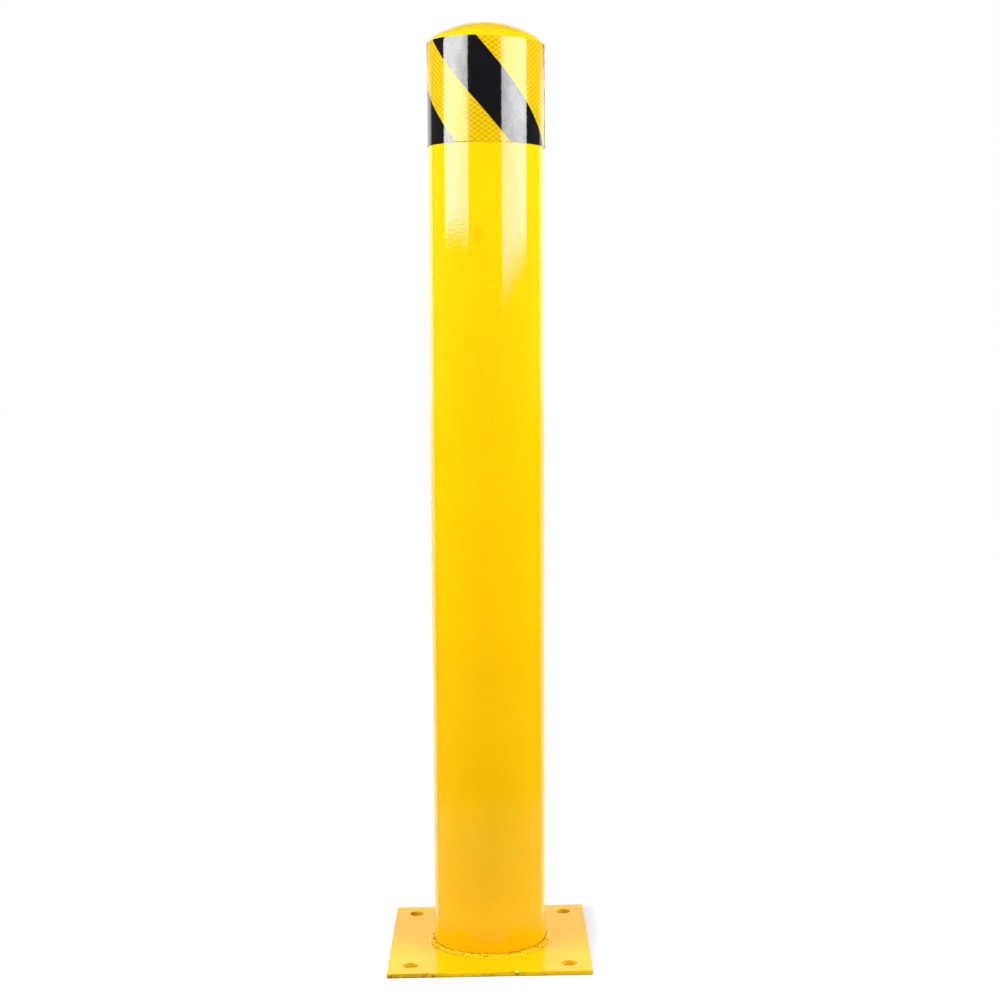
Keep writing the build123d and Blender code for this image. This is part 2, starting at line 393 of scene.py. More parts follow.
# ---------------------------------------------------------------------------------------------
# Base plate
# ---------------------------------------------------------------------------------------------
def build_plate():
    er = 0.55          # softened edge of the painted plate
    cr = 0.9           # corner radius seen from above
    hr = 0.45          # softened rim of each hole
    inset = HALF - er
    # boundary of one quadrant's top, starting at the plate's centre, anticlockwise
    def run(a, b, n):
        return [(a[0] + (b[0] - a[0]) * i / n, a[1] + (b[1] - a[1]) * i / n) for i in range(n)]

    n_side = 56
    arc_n = 6
    c0 = inset - cr
    q = run((0, 0), (inset, 0), 44)
    q += run((inset, 0), (inset, c0), n_side)
    q += [(c0 + cr * math.cos(math.pi / 2 * i / arc_n), c0 + cr * math.sin(math.pi / 2 * i / arc_n)) for i in range(arc_n)]
    q += run((c0, inset), (0, inset), n_side)
    q += run((0, inset), (0, 0), 44)
    q = np.array(q)
    nq = len(q)
    cen = np.array([HOLE_C, HOLE_C])
    d = q - cen
    ang = np.arctan2(d[:, 1], d[:, 0])
    dirs = np.stack([np.cos(ang), np.sin(ang)], 1)
    verts, faces, side = [], [], []

    def ring(xy, z, s=0.0):
        i0 = len(verts)
        zz = np.broadcast_to(z, (len(xy),))
        for (x, y), h in zip(xy, zz):
            verts.append((x, y, h))
            side.append(s)
        return i0

    def bridge(a, b, n, flip, closed=True):
        for i in range(n if closed else n - 1):
            j = (i + 1) % n
            f = (a + i, a + j, b + j, b + i)
            faces.append(f[::-1] if flip else f)

    ts = [0.0] + list(np.linspace(0, 1, 30)[1:] ** 1.35)
    for sx in (1, -1):
        for sy in (1, -1):
            flip = sx * sy < 0
            m = np.array([sx, sy])
            prev = None
            # hole: down the wall, over the rim, then out across the top
            wall = []
            for a in np.linspace(0, math.pi / 2, 5):
                wall.append((HOLE_R + hr - hr * math.sin(a), PT - hr + hr * math.cos(a)))
            wall.reverse()
            prof = [(HOLE_R + 0.35, 0.0), (HOLE_R, 0.35), (HOLE_R, PT * 0.5)] + wall
            for r, z in prof:
                cur = ring((cen + dirs * r) * m, z)
                if prev is not None:
                    bridge(prev, cur, nq, not flip)
                prev = cur
            rim = cen + dirs * (HOLE_R + hr)
            for t in ts[1:]:
                cur = ring((rim + (q - rim) * t) * m, PT)
                bridge(prev, cur, nq, not flip)
                prev = cur
            # underside
            prev = ring((cen + dirs * (HOLE_R + 0.35)) * m, 0.0)
            rim = cen + dirs * (HOLE_R + 0.35)
            for t in (0.12, 0.35, 0.7, 1.0):
                cur = ring((rim + (q - rim) * t) * m, 0.0)
                bridge(prev, cur, nq, flip)
                prev = cur
    # outer perimeter, anticlockwise, as seen from above
    seg = q[44 : 44 + n_side + arc_n + n_side]
    full = []
    for k in range(4):
        c, s = math.cos(math.pi / 2 * k), math.sin(math.pi / 2 * k)
        for x, y in seg:
            full.append((x * c - y * s, x * s + y * c))
    full = np.array(full)
    # outward direction of each perimeter point
    nxt, prv = np.roll(full, -1, 0), np.roll(full, 1, 0)
    tan = nxt - prv
    out = np.stack([tan[:, 1], -tan[:, 0]], 1)
    out /= np.linalg.norm(out, axis=1)[:, None]
    prof = []
    for a in np.linspace(0, math.pi / 2, 7):
        prof.append((er * math.sin(a), PT - er + er * math.cos(a)))
    for z in np.linspace(PT - er, 0.35, 9)[1:]:
        prof.append((er, z))
    for a in np.linspace(0, math.pi / 2, 4)[1:]:
        prof.append((er - 0.35 + 0.35 * math.cos(a), 0.35 - 0.35 * math.sin(a)))
    prof.append((0.0, 0.0))
    prev = None
    for k, (o, z) in enumerate(prof):
        s = 0.0 if k == 0 else (1.0 if z < PT - 0.05 else 0.55)
        s = 0.0 if k >= len(prof) - 1 else s
        cur = ring(full + out * o, z, s)
        if prev is not None:
            bridge(prev, cur, len(full), False)
        prev = cur
    v = np.array(verts, float)
    side = np.array(side, float)
    # a sheared plate isn't perfectly true: slight sway of the faces, ragged lower edges, one torn spot along the front
    for i, (x, y, z) in enumerate(v):
        edge = max(abs(x), abs(y)) > inset - 0.001
        if z > PT - 0.01 and not edge:
            v[i, 2] += 0.05 * fbm((x, y, 0), 38, 2, seed=5.0)
        if edge:
            ox = math.copysign(1.0, x) if abs(x) > inset - 0.001 else 0.0
            oy = math.copysign(1.0, y) if abs(y) > inset - 0.001 else 0.0
            amp = 0.10 + 0.16 * max(0.0, 1.0 - z / PT)
            w = amp * fbm((x, y, z * 1.4), 4.2, 3, seed=2.0) + 0.10 * fbm((x, y, z), 23, 2, seed=8.0)
            w = min(w, 0.16)
            # ragged tear-out left by the shear along the front's middle
            if y < 0:
                tear = math.exp(-(((x - 26) / 17) ** 2)) * (0.5 + 0.5 * fbm((x, 0, z), 2.2, 2, seed=3.0))
                w -= 0.35 * max(0.0, tear) * (1.0 if z < PT * 0.8 else 0.35)
            v[i, 0] += ox * w
            v[i, 1] += oy * w
            if z > PT - er and side[i] > 0:
                v[i, 2] += 0.05 * fbm((x, y, 3), 5.0, 2, seed=6.0)
    ob = new_object("base_plate_painted", v, faces, attrs={"side": side}, mats=[MAT_PLATE])
    weld_points(ob)
    return ob


def weld_points(ob, dist_mm=0.02):
    import bmesh

    bm = bmesh.new()
    bm.from_mesh(ob.data)
    bmesh.ops.remove_doubles(bm, verts=bm.verts, dist=dist_mm * MM)
    bmesh.ops.recalc_face_normals(bm, faces=bm.faces)
    bm.to_mesh(ob.data)
    bm.free()
    ob.data.update()


# ---------------------------------------------------------------------------------------------
# Turned pieces: post, dome, cap weld
# ---------------------------------------------------------------------------------------------
def lathe(name, profile, seg, mats, wobble=None, closed=True):
    """Revolves a closed (r, z) profile; wobble(x, y, z, r) returns extra radius."""
    prof = np.asarray(profile, float)
    n = len(prof)
    verts = []
    for i in range(seg):
        a = 2 * math.pi * i / seg
        s, c = math.sin(a), -math.cos(a)
        for r, z in prof:
            e = wobble(r * s, r * c, z, r) if wobble and r > 1e-6 else 0.0
            verts.append(((r + e) * s, (r + e) * c, z))
    faces = grid_faces(seg, n, wrap_u=True, wrap_v=closed, flip=False)
    ob = new_object(name, verts, faces, mats=mats)
    weld_points(ob, 0.002)
    return ob


def build_post():
    prof = [(R, z) for z in np.linspace(Z0, Z1 - 1.6, 190)]
    prof += [(R - 0.05, Z1 - 1.45), (R - 1.5, Z1), (R - WALL, Z1)]
    prof += [(R - WALL, z) for z in np.linspace(Z1 - 5, Z0 + 5, 14)]
    prof += [(R - WALL, Z0)]

    def wob(x, y, z, r):
        if r < R - 1 or z > Z1 - 2:
            return 0.0
        near = min(1.0, (z - Z0) / 8.0)
        return near * (0.035 * fbm((x * 0.7, y * 0.7, z * 0.35), 46, 2, seed=1.0)
                       + 0.012 * fbm((x, y, z * 0.25), 11, 1, seed=9.0))

    return lathe("post_tube_painted", prof, 360, [MAT_TUBE], wob)


FLANGE = 2.0
KN = 16.0
Z_KN = Z1 + FLANGE
CAP_H = ZTOP - Z_KN
S_R = ((R - KN) ** 2 + CAP_H**2 - KN**2) / (2 * (CAP_H - KN))
Z_S = ZTOP - S_R
ANG_T = math.atan2(Z_KN - Z_S, R - KN)


def build_dome():
    prof = [(R - 1.5, Z1), (R - 0.05, Z1 + 1.45), (R, Z1 + 1.6)]
    for a in np.linspace(0, ANG_T, 26):
        prof.append((R - KN + KN * math.cos(a), Z_KN + KN * math.sin(a)))
    for a in np.linspace(ANG_T, math.pi / 2, 60)[1:]:
        prof.append((max(0.0, S_R * math.cos(a)), Z_S + S_R * math.sin(a)))
    ki, si = KN - WALL, S_R - WALL
    for a in np.linspace(math.pi / 2, ANG_T, 24):
        prof.append((max(0.0, si * math.cos(a)), Z_S + si * math.sin(a)))
    for a in np.linspace(ANG_T, 0, 8)[1:]:
        prof.append((R - KN + ki * math.cos(a), Z_KN + ki * math.sin(a)))
    prof.append((R - WALL, Z1))

    def wob(x, y, z, r):
        if z < Z_KN + 0.5 or r < 3:
            return 0.0
        fade = min(1.0, (z - Z_KN - 0.5) / 3.0)
        return fade * 0.07 * fbm((x, y, z), 30, 2, seed=2.2)

    return lathe("dome_cap_painted", prof, 360, [MAT_DOME], wob)


def build_cap_weld():
    prof = [(R - 1.5, Z1), (R - 0.03, Z1 - 1.47)]
    for z in np.linspace(Z1 - 1.3, Z1 + 1.3, 9):
        prof.append((R, z))
    prof.append((R - 0.03, Z1 + 1.47))

    def wob(x, y, z, r):
        if r < R - 0.01:
            return 0.0
        mid = max(0.0, 1.0 - abs(z - Z1) / 1.35)
        return mid * (-0.02 + 0.03 * fbm((x, y, z), 6.0, 3, seed=6.6))

    return lathe("cap_weld_ground", prof, 720, [MAT_CAPW], wob)


# ---------------------------------------------------------------------------------------------
# Fillet weld: a hand-laid bead with ripples, lumps, uneven toes and spatter
# ---------------------------------------------------------------------------------------------
def build_bead():
    n_a, n_p = 1500, 22
    ripples = []
    a = 0.0
    while a < 360.0:
        step = 3.1 + rng.uniform(-0.9, 1.3)
        ripples.append((a, step, rng.uniform(0.6, 1.25), rng.uniform(-0.5, 0.5)))
        a += step
    lumps = []
    for _ in range(34):
        lumps.append((rng.uniform(0, 360), rng.uniform(0.08, 0.95), rng.uniform(1.1, 2.6), rng.uniform(0.35, 1.05)))
    # heavier lumps where the runs start and stop, mostly along the front
    for ang, f, w, h in ((-33, 0.42, 1.6, 1.3), (-27.5, 0.34, 1.3, 1.3), (-21, 0.40, 1.2, 0.8), (-12, 0.62, 2.2, 0.9),
                         (-1, 0.42, 1.3, 0.7), (20, 0.75, 2.4, 0.8), (31, 0.6, 2.2, 0.9), (47, 0.5, 2.6, 0.8),
                         (-58, 0.35, 1.6, 0.9), (-72, 0.25, 2.6, 1.5), (66, 0.3, 2.4, 0.9)):
        lumps.append((ang % 360, f, w, h))
    starts = np.array([r[0] for r in ripples])
    verts, rip, cav = [], [], []
    for i in range(n_a):
        ang = 360.0 * i / n_a
        t = math.radians(ang)
        s, c = math.sin(t), -math.cos(t)
        px, py = R * s, R * c
        leg_r = 4.1 + 1.3 * fbm((px, py, 0), 13, 3, seed=1.0) + 1.2 * fbm((px, py, 9), 4.5, 2, seed=4.0)
        leg_z = 3.0 + 0.9 * fbm((px, py, 5), 13, 3, seed=7.0) + 0.9 * fbm((px, py, 2), 3.8, 2, seed=8.0)
        bulge = 0.40 + 0.35 * fbm((px, py, 3), 9, 2, seed=5.0)
        # a second, flatter run laid over the toe at the front right
        sa = (ang + 180) % 360 - 180
        second = max(0.0, min(1.0, (sa - 12) / 5)) * max(0.0, min(1.0, (82 - sa) / 9))
        stack = math.exp(-(((sa + 86.0) / 13.0) ** 2)) + 0.7 * math.exp(-(((sa - 92.0) / 12.0) ** 2))
        leg_r += 1.5 * second + 0.7 * stack
        leg_z += 2.2 * stack * (1.0 + 0.5 * fbm((px, py, 4), 3.0, 2, seed=3.5))
        ridge = math.exp(-(((sa - 7.5) / 1.0) ** 2))
        crease_at = 0.52 + 0.16 * fbm((px, py, 7), 4.5, 2, seed=9.5)
        # the painted shade in the pipe-side crease widens and narrows; the painted undercut shade at the toe runs only
        # along the front left
        neck = 0.76 + 0.16 * fbm((px, py, 11), 6.0, 2, seed=12.5)
        toe = max(0.0, min(1.0, (sa + 82) / 10)) * max(0.0, min(1.0, (-16 - sa) / 14))
        toe = 0.25 + 0.95 * toe * (0.8 + 0.6 * fbm((px, py, 12), 5.0, 2, seed=13.5))
        jag = max(0.0, min(1.0, (sa - 8) / 3)) * max(0.0, min(1.0, (34 - sa) / 5))
        leg_z += 1.1 * jag * fbm((px, py, 13), 2.4, 2, seed=14.5)
        for j in range(n_p):
            f = j / (n_p - 1)                 # 0 at the plate's toe, 1 at the pipe's toe
            base_r = R + leg_r * (1 - f)
            base_z = PT + leg_z * f
            # ripple arcs lag in the bead's middle, as a pool freezes behind the arc
            lag = 2.2 * (1 - (2 * f - 1) ** 2)
            pos = (ang + lag) % 360
            k = int(np.searchsorted(starts, pos, side="right") - 1)
            a0, step, amp, _ = ripples[k]
            ph = (pos - a0) / step
            scallop = amp * (1.0 - ph) ** 0.6 * min(1.0, ph * 9)
            body = math.sin(math.pi * min(max(f, 0.0), 1.0)) ** 0.75
            h = bulge * body + 0.26 * scallop * body
            for la, lf, lw, lh in lumps:
                da = (ang - la + 180) % 360 - 180
                if abs(da) < 6:
                    dx = da * math.pi / 180 * (R + 2.5)
                    df = (f - lf) * 7.0
                    d2 = (dx * dx + df * df) / (lw * lw)
                    if d2 < 1:
                        h += lh * (1 - d2) ** 1.5 * body ** 0.5
            rough_h = fbm((base_r * s, base_r * c, base_z), 2.2, 2, seed=2.0)
            h += 0.42 * rough_h * body
            step_f = max(0.0, min(1.0, (crease_at - f) / 0.07 + 0.5))
            h += second * (0.55 * step_f * body ** 0.5 - 0.2 * math.exp(-(((f - crease_at) / 0.07) ** 2)))
            h += 0.75 * ridge * body
            nr, nz = math.sin(math.atan2(leg_z, leg_r)), math.cos(math.atan2(leg_z, leg_r))
            r = base_r + h * nr
            z = base_z + h * nz
            if j == 0:
                r, z = base_r + 0.05, PT - 0.05
            if j == n_p - 1:
                r, z = R - 0.05, base_z + 0.05
            verts.append((r * s, r * c, z))
            rip.append(scallop)
            # painted shade: darker in low spots, at each ripple's start, in the creases, under the toe and in one
            # undercut spot
            deep = max(0.0, -1.5 * rough_h) * body
            deep += (max(0.0, 1 - ph * 6) * body * 0.4 if ph < 0.16 else 0.0)
            deep += max(0.0, min(1.0, (f - neck) / 0.12)) * (1.0 + 0.5 * jag)
            deep += toe * max(0.0, 1.0 - f / 0.16) + second * 0.9 * math.exp(-(((f - crease_at) / 0.08) ** 2))
            deep += 1.7 * math.exp(-(((sa + 5.0) / 1.3) ** 2) - (((f - 0.30) / 0.13) ** 2))
            cav.append(deep)
        # closing point inside the corner
        verts.append(((R - 0.05) * s, (R - 0.05) * c, PT - 0.05))
        rip.append(0.0)
        cav.append(0.0)
    faces = grid_faces(n_a, n_p + 1, wrap_u=True, wrap_v=True, flip=False)
    rip, cav = list(rip), list(cav)
    # spatter: small frozen drops on the plate and low on the pipe
    def drop(cx, cy, cz, nx, ny, nz, rad, flat):
        n = Vector((nx, ny, nz)).normalized()
        u = n.orthogonal().normalized()
        w = n.cross(u)
        base = len(verts)
        rows, cols = 5, 12
        for a_i in range(rows):
            fa = a_i / (rows - 1)
            rr = rad * math.cos(fa * math.pi / 2) * (1.15 if a_i == 0 else 1.0)
            hh = rad * flat * math.sin(fa * math.pi / 2) - 0.05
            for b_i in range(cols):
                b = 2 * math.pi * b_i / cols
                k2 = 1 + 0.14 * math.sin(b * 2 + cx) + 0.09 * math.sin(b * 3 + cy)
                p = Vector((cx, cy, cz)) + (u * math.cos(b) + w * math.sin(b)) * rr * k2 + n * hh
                verts.append(tuple(p))
                rip.append(0.0)
                # painted contact shade round each drop's foot
                cav.append(0.7 if a_i == 0 else 0.0)
        for a_i in range(rows - 1):
            for b_i in range(cols):
                b2 = (b_i + 1) % cols
                faces.append((base + a_i * cols + b_i, base + a_i * cols + b2,
                              base + (a_i + 1) * cols + b2, base + (a_i + 1) * cols + b_i))
        faces.append(tuple(base + b_i for b_i in reversed(range(cols))))

    for _ in range(46):
        t = rng.uniform(0, 2 * math.pi)
        rr = R + 7.5 + abs(rng.normal(0, 6.0))
        rad = rng.uniform(0.25, 0.6)
        drop(rr * math.sin(t), -rr * math.cos(t), PT, 0, 0, 1, rad, rng.uniform(0.45, 0.8))
    for _ in range(22):
        t = rng.uniform(0, 2 * math.pi)
        z = PT + 6.5 + abs(rng.normal(0, 5.0))
        drop(R * math.sin(t), -R * math.cos(t), z, math.sin(t), -math.cos(t), 0, rng.uniform(0.25, 0.55), 0.5)
    ob = new_object("base_weld_bead", verts, faces, attrs={"ripple": rip, "painted_crevice_shade": cav}, mats=[MAT_BEAD])
    weld_points(ob, 0.001)
    return ob


# ---------------------------------------------------------------------------------------------
# Tape and black film
# ---------------------------------------------------------------------------------------------
def lift(u):
    if u <= CLIMB0:
        return 0.0
    t = min(1.0, (u - CLIMB0) / (CLIMB1 - CLIMB0))
    s = t * t * (3 - 2 * t)
    free = max(0.0, (u - (TURN - 5.0)) / 5.0)
    return s * (TAPE_T + GAP) + 0.25 * free**2


def curl(u, z):
    """Extra stand-off of the free end, most at its top corner."""
    free = max(0.0, (u - (TURN - 4.0)) / 4.0)
    corner = max(0.0, 1 - (ZT1 - z) / 7.0) ** 2 + 0.35 * max(0.0, 1 - (z - ZT0) / 9.0) ** 2
    return free**2 * (0.02 + 0.36 * corner)


def wrap(u, z, h):
    """A point h above the strip's underside at unrolled angle u."""
    a = math.radians(START - u)
    ripple = 0.012 * fbm((u * 1.004, 0, z), 13, 2, seed=3.0)
    over = max(0.0, z - (Z_KN + 0.6))
    lean = -0.011 * over * over * (1.0 + 0.18 * noise.noise(Vector((u * 0.09, 3.3, 0.0))))
    r = R + GAP + lift(u) + curl(u, z) + h + ripple + lean
    return (r * math.sin(a), -r * math.cos(a), z)


def flat_s(u):
    """Arc length from the front, positive to the right, in millimetres."""
    return math.radians(START - u) * (R + TAPE_T)


def columns(u0, u1, step):
    n = max(2, int(round((u1 - u0) / step)) + 1)
    return list(np.linspace(u0, u1, n))


def build_tape(mat_face, mat_edge):
    us = columns(0.0, CLIMB0 - 2, 0.75) + columns(CLIMB0 - 2, TURN, 0.25)[1:]
    zs = list(np.linspace(ZT0 + 0.08, ZT1 - 0.08, 96))
    # cross-section round the strip: outer face up, top edge, inner face down, bottom edge
    sec = [(z, TAPE_T, 0) for z in zs]
    sec += [(ZT1 - 0.02, TAPE_T - 0.03, 1), (ZT1, TAPE_T - 0.1, 1), (ZT1, 0.06, 1), (ZT1 - 0.05, 0.0, 1)]
    sec += [(z, 0.0, 1) for z in np.linspace(ZT1 - 4, ZT0 + 4, 10)]
    sec += [(ZT0 + 0.05, 0.0, 1), (ZT0, 0.06, 1), (ZT0, TAPE_T - 0.1, 1), (ZT0 + 0.02, TAPE_T - 0.03, 1)]
    nv = len(sec)
    verts, flat = [], []
    for u in us:
        for z, h, _ in sec:
            verts.append(wrap(u, z, h))
            flat.append((flat_s(u), z, u))
    faces = grid_faces(len(us), nv, wrap_v=True, flip=True)
    fm = []
    for i in range(len(us) - 1):
        for j in range(nv):
            j2 = (j + 1) % nv
            fm.append(0 if j < len(zs) - 1 else 1)
    # the two cut ends
    for i, rev in ((0, False), (len(us) - 1, True)):
        f = [i * nv + j for j in range(nv)]
        # indices of the outer and the inner face, not used; each end is closed by one polygon
        o = list(range(0, len(zs)))
        inner = list(range(len(zs), nv))
        faces.append(tuple(f if not rev else f[::-1]))
        fm.append(1)
    ob = new_object("reflective_tape_sheet", verts, faces, attrs={"flat": flat}, face_mat=fm,
                    mats=[mat_face, mat_edge])
    return ob


def build_stripes(mat):
    """Each black bar is a thin film patch bounded by two exact slanting lines and the strip's edges."""
    h0, h1 = TAPE_T + 0.004, TAPE_T + FILM_T
    top, bot = ZT1, ZT0
    verts, faces, flat = [], [], []
    rows = 40
    k_s = math.radians(1) * (R + TAPE_T)

    def put(u, z, h):
        verts.append(wrap(u, z, h))
        flat.append((flat_s(u), z, u))
        return len(verts) - 1

    for k in range(-8, 1):            # the strip starts in a yellow field
        zf = STRIPE_Z0 + k * 2 * STRIPE_H

        def u_of(z_line, z):
            return START - (z - z_line) / (SLOPE * k_s)

        # breakpoints along the strip, where the bar's edges cross the strip's edges
        marks = sorted([u_of(zf, top), u_of(zf, bot), u_of(zf - STRIPE_H, top), u_of(zf - STRIPE_H, bot)])
        lo, hi = max(marks[0], COVER + 0.02), min(marks[-1], TURN - 0.03)
        if hi - lo < 0.2:
            continue
        stops = [lo] + [m for m in marks if lo + 0.05 < m < hi - 0.05] + [hi]
        us = []
        for a, b in zip(stops, stops[1:]):
            us += columns(a, b, 0.5)[:-1]
        us.append(stops[-1])
        spans = []
        for u in us:
            z_hi = min(top, zf + SLOPE * k_s * (START - u))
            z_lo = max(bot, zf - STRIPE_H + SLOPE * k_s * (START - u))
            spans.append((z_lo, max(z_hi, z_lo + 0.01)))
        # the face
        base = len(verts)
        for u, (z_lo, z_hi) in zip(us, spans):
            for r in range(rows):
                put(u, z_lo + (z_hi - z_lo) * r / (rows - 1), h1)
        faces += grid_faces(len(us), rows, flip=True, base=base)
        # its walls, with their own vertices so that the cut stays crisp
        loop = [(u, s[0]) for u, s in zip(us, spans)]
        loop += [(us[-1], spans[-1][0] + (spans[-1][1] - spans[-1][0]) * r / 12) for r in range(1, 12)]
        loop += [(u, s[1]) for u, s in zip(reversed(us), reversed(spans))]
        loop += [(us[0], spans[0][1] - (spans[0][1] - spans[0][0]) * r / 12) for r in range(1, 12)]
        base = len(verts)
        for u, z in loop:
            put(u, z, h1)
            put(u, z, h0)
        n = len(loop)
        for i in range(n):
            j = (i + 1) % n
            faces.append((base + 2 * i, base + 2 * j, base + 2 * j + 1, base + 2 * i + 1))
    return new_object("hazard_stripe_film", verts, faces, attrs={"flat": flat}, mats=[mat])


def tape_material():
    """Yellow prismatic sheeting: diamond cells sealed by thin lighter lines, under a clear gloss face."""
    t = Tree("yellow_prismatic_sheet")
    flat = t.attr("flat", vector=True)
    s, z, _ = t.sep(flat)
    cw, ch = 7.0, 4.9
    a = t.math("ADD", t.math("DIVIDE", s, cw), t.math("DIVIDE", z, ch))
    b = t.math("SUBTRACT", t.math("DIVIDE", s, cw), t.math("DIVIDE", z, ch))

    def to_line(v):
        f = t.math("FRACT", t.math("ADD", v, 100.0))
        return t.math("ABSOLUTE", t.math("SUBTRACT", f, 0.5))   # 0 on the line, 0.5 in the cell's middle

    da, db = to_line(a), to_line(b)
    near = t.math("MINIMUM", da, db)
    line = t.ramp(near, 0.022, 0.072, 1.0, 0.0)
    core = t.ramp(near, 0.06, 0.19)
    # each cell returns the light a little differently
    ca = t.math("FLOOR", t.math("ADD", a, 100.5))
    cb = t.math("FLOOR", t.math("ADD", b, 100.5))
    comb = t.node("ShaderNodeCombineXYZ")
    t.link(ca, comb.inputs[0])
    t.link(cb, comb.inputs[1])
    wn = t.node("ShaderNodeTexWhiteNoise", noise_dimensions="2D")
    t.link(comb.outputs[0], wn.inputs["Vector"])
    cell = wn.outputs["Value"]
    edge_c = (0.575, 0.360, 0.002)
    core_c = (0.548, 0.292, 0.001)
    line_c = (0.72, 0.620, 0.012)
    col = t.mix(core, edge_c, core_c)
    col = t.mix(t.math("MULTIPLY", cell, 0.28), col, (0.60, 0.385, 0.003))
    speck = t.ramp(t.noise(1.2, 1.0, 0.6, seed=3.0), 0.50, 0.72, 0.0, 0.45)
    col = t.mix(speck, col, (0.47, 0.235, 0.001))
    cloudy = t.noise(22, 3, 0.55)
    col = t.mix(t.ramp(cloudy, 0.35, 0.7, 0.0, 0.15), col, (0.62, 0.41, 0.004))
    col = t.mix(line, col, line_c)
    # the prisms return less of the gloss's colour where the seal lines are lighter
    tint = t.mix(core, (1.0, 0.82, 0.72), (1.0, 1.0, 0.64))
    tint = t.mix(line, tint, (1.0, 0.04, 0.95))
    level = t.math("SUBTRACT", t.math("ADD", t.math("MULTIPLY", core, 0.09), 0.50), t.math("MULTIPLY", line, 0.12))
    face_n = t.bump(t.noise(8.0, 2, 0.5), 0.030)
    face_n = t.bump(t.noise(1.5, 1, 0.5), 0.005, normal=face_n)
    face_n = t.bump(line, 0.010, normal=face_n)
    rough = t.ramp(t.noise(12, 3, 0.6), 0.3, 0.7, 0.10, 0.16)
    p = t.principled(Base_Color=col, Roughness=rough, IOR=1.5, Normal=face_n)
    t.link(tint, p.inputs["Specular Tint"])
    t.link(level, p.inputs["Specular IOR Level"])
    return t.mat


def tape_edge_material():
    """The cut edge: adhesive and backing, a little dirty, with painted shadow along the strip's lower edge."""
    t = Tree("tape_cut_edge")
    _, _, z = t.sep(t.coords())
    col = t.mix(t.noise(1.6, 3, 0.6), (0.90, 0.70, 0.46), (0.66, 0.42, 0.24))
    # painted shadow along the strip's lower edge
    col = t.mix(t.ramp(z, (ZT0 + 0.15) * MM, (ZT0 + 0.7) * MM, 1.0, 0.0), col, (0.40, 0.19, 0.02))
    p = t.principled(Base_Color=col, Roughness=0.55, Normal=t.bump(t.noise(0.6, 2, 0.6), 0.05))
    return t.mat


def film_material():
    """Black overlay film: gloss, but with a faintly pebbled face that mottles its highlights."""
    t = Tree("black_overlay_film")
    flat = t.attr("flat", vector=True)
    tone = t.noise(14, 4, 0.6)
    col = t.mix(t.ramp(tone, 0.3, 0.7), (0.0042, 0.0040, 0.0055), (0.0064, 0.0060, 0.0080))
    speck = t.ramp(t.voronoi(5.5), 0.02, 0.05, 1.0, 0.0)
    col = t.mix(t.math("MULTIPLY", speck, 0.35), col, (0.06, 0.06, 0.06))
    pebble = t.noise(1.7, 2.0, 0.55)
    wave = t.noise(7.0, 2.0, 0.5, seed=2.0)
    n = t.bump(wave, 0.024)
    n = t.bump(pebble, 0.016, normal=n)
    rough = t.ramp(t.noise(4.5, 4, 0.65, seed=5.0), 0.3, 0.75, 0.04, 0.10)
    p = t.principled(Base_Color=col, Roughness=rough, IOR=1.56, Normal=n)
    spec = t.ramp(t.noise(13, 4, 0.62, seed=8.0, stretch=(1.0, 1.0, 0.45)), 0.28, 0.72, 0.50, 0.70)
    grain = t.ramp(t.noise(1.3, 1, 0.5, seed=12.0), 0.25, 0.75, 0.90, 1.09)
    spec = t.math("MULTIPLY", spec, grain)
    t.link(spec, p.inputs["Specular IOR Level"])
    return t.mat


# ---------------------------------------------------------------------------------------------
# Build the pieces and hang them on the frame
# ---------------------------------------------------------------------------------------------
made = [
    (build_plate(), "base_plate"),
    (build_post(), "post_tube"),
    (build_dome(), "dome_cap"),
    (build_cap_weld(), "cap_weld"),
    (build_bead(), "base_weld"),
    (build_tape(tape_material(), tape_edge_material()), "reflective_tape"),
    (build_stripes(film_material()), "hazard_stripes"),
]
for piece, node in made:
    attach(piece, "root")
    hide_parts(node)


